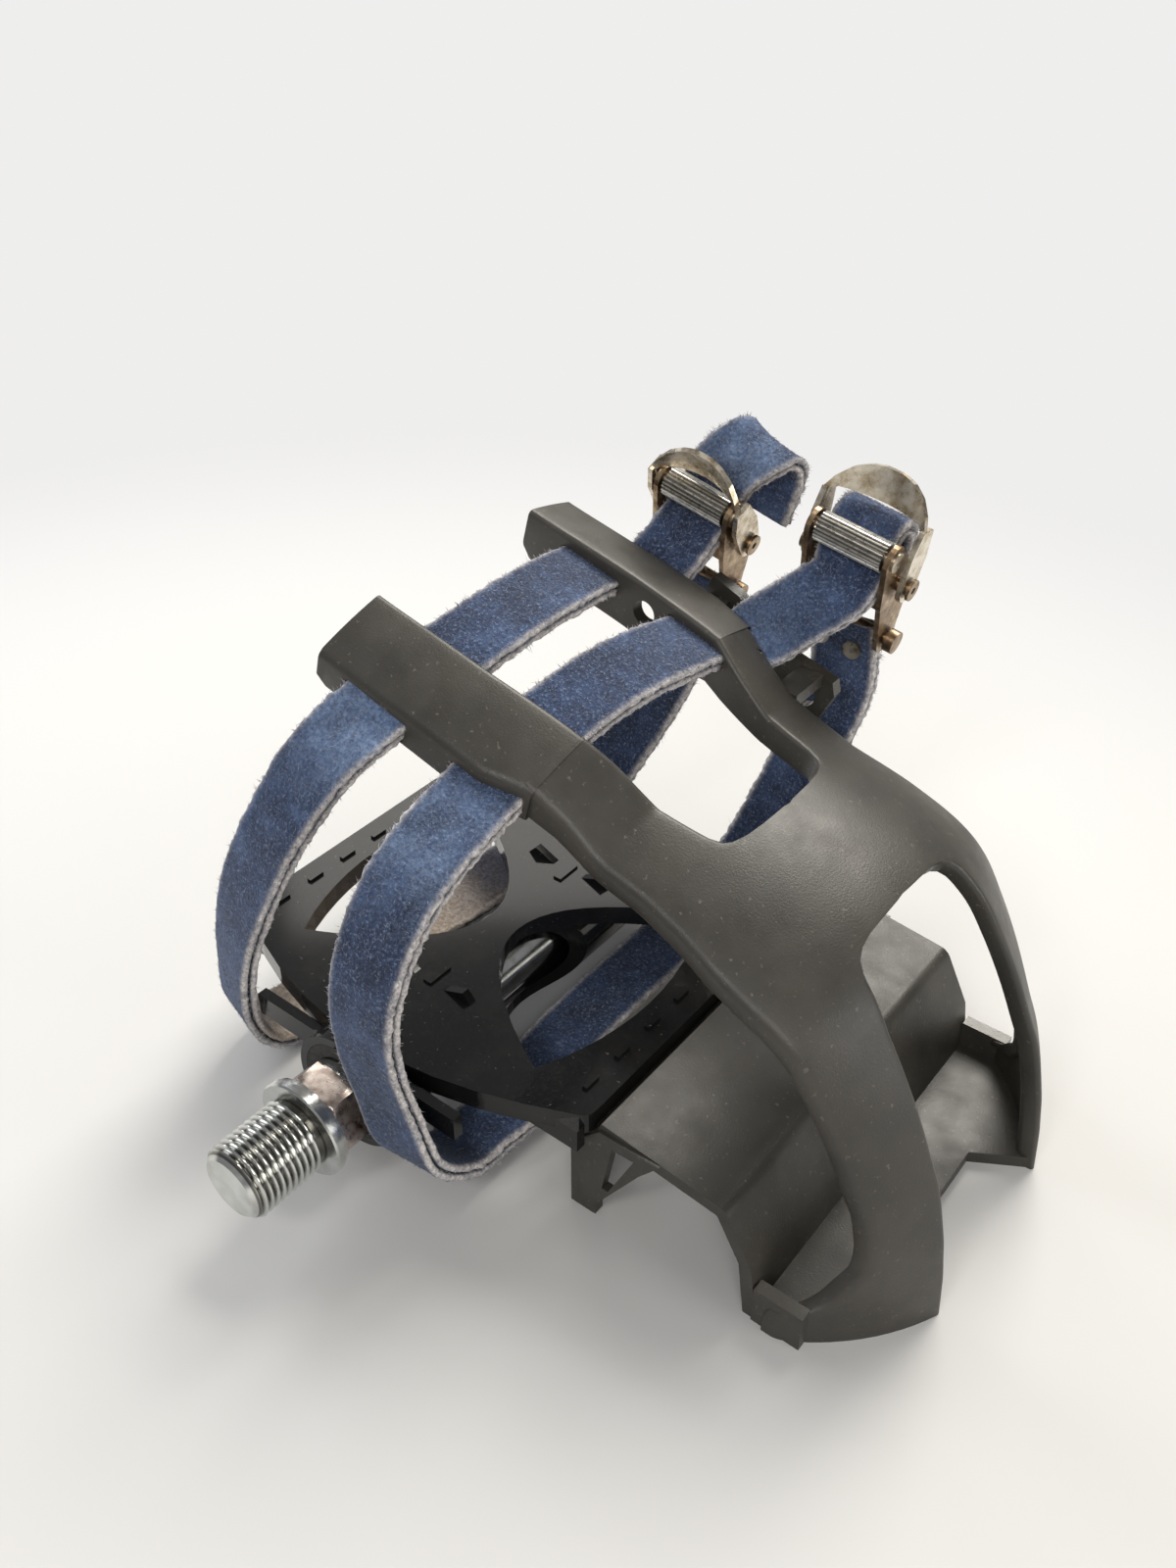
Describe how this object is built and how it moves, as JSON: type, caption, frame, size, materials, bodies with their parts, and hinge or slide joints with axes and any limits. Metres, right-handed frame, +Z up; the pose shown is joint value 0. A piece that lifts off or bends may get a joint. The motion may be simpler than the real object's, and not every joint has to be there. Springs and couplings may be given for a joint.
{
  "type": "bicycle pedal with toe cage",
  "caption": "Left platform bicycle pedal with a moulded toe cage, two suede straps and quick-release roller buckles.",
  "frame": {"origin": "centre of the spindle flange's crank face, on the spindle axis", "axes": "+X towards the toe, +Y outboard along the spindle, +Z up with the pedal standing on a table"},
  "size_m": [0.1409, 0.1381, 0.1078],
  "materials": {
    "spindle_steel": "bright zinc plated",
    "bearing_steel": "ground and oiled",
    "seal_rubber": "matte",
    "platform_gloss": "glossy moulded",
    "cage_matte": "fine grained matte",
    "strap_suede": "worn blue suede",
    "buckle_steel": "tarnished nickel plate",
    "roller_nickel": "bright nickel, grooved"
  },
  "bodies": {
    "pedal": {"inboard_seal": "seal_rubber", "inboard_cup": "bearing_steel", "outboard_cup": "bearing_steel", "end_cap": "platform_gloss", "platform": "platform_gloss", "toe_cage": "cage_matte", "cage_screws": "spindle_steel", "cage_washers": "spindle_steel", "front_strap": "strap_suede", "rear_strap": "strap_suede", "front_buckle_frame": "buckle_steel", "front_roller_pin": "buckle_steel", "front_lever_pin": "buckle_steel", "front_anchor_pin": "buckle_steel", "front_rivets": "spindle_steel", "rear_buckle_frame": "buckle_steel", "rear_roller_pin": "buckle_steel", "rear_lever_pin": "buckle_steel", "rear_anchor_pin": "buckle_steel", "rear_rivets": "spindle_steel"},
    "spindle": {"spindle": "spindle_steel", "outboard_cone": "bearing_steel", "lock_washer": "bearing_steel", "lock_nut": "spindle_steel"},
    "inboard_balls": {"inboard_balls": "bearing_steel"},
    "outboard_balls": {"outboard_balls": "bearing_steel"},
    "front_roller": {"front_roller": "roller_nickel"},
    "rear_roller": {"rear_roller": "roller_nickel"},
    "front_lever": {"front_lever": "buckle_steel"},
    "rear_lever": {"rear_lever": "buckle_steel"}
  },
  "joints": [
    {"name": "spindle_spin", "type": "hinge", "parent": "pedal", "child": "spindle", "pos_m": [0, 0, 0], "axis": [0, 1, 0], "continuous": true},
    {"name": "inboard_ball_orbit", "type": "hinge", "parent": "pedal", "child": "inboard_balls", "pos_m": [0, 0.0152, 0], "axis": [0, 1, 0], "continuous": true},
    {"name": "outboard_ball_orbit", "type": "hinge", "parent": "pedal", "child": "outboard_balls", "pos_m": [0, 0.088, 0], "axis": [0, 1, 0], "continuous": true},
    {"name": "front_roller_spin", "type": "hinge", "parent": "pedal", "child": "front_roller", "pos_m": [0.0367, 0.107, 0.08], "axis": [0.9854, 0, -0.1702], "continuous": true},
    {"name": "rear_roller_spin", "type": "hinge", "parent": "pedal", "child": "rear_roller", "pos_m": [0.0044, 0.107, 0.0792], "axis": [0.9759, 0, -0.2181], "continuous": true},
    {"name": "front_lever_hinge", "type": "hinge", "parent": "pedal", "child": "front_lever", "pos_m": [0.03558, 0.112, 0.0735], "axis": [0.9854, 0, -0.1702], "range_deg": [0, 48]},
    {"name": "rear_lever_hinge", "type": "hinge", "parent": "pedal", "child": "rear_lever", "pos_m": [0.00296, 0.112, 0.07276], "axis": [0.9759, 0, -0.2181], "range_deg": [-10, 12]}
  ],
  "couplings": [
    {"joint": "inboard_ball_orbit", "follows": "spindle_spin", "ratio": 0.3927},
    {"joint": "outboard_ball_orbit", "follows": "spindle_spin", "ratio": 0.3797}
  ]
}
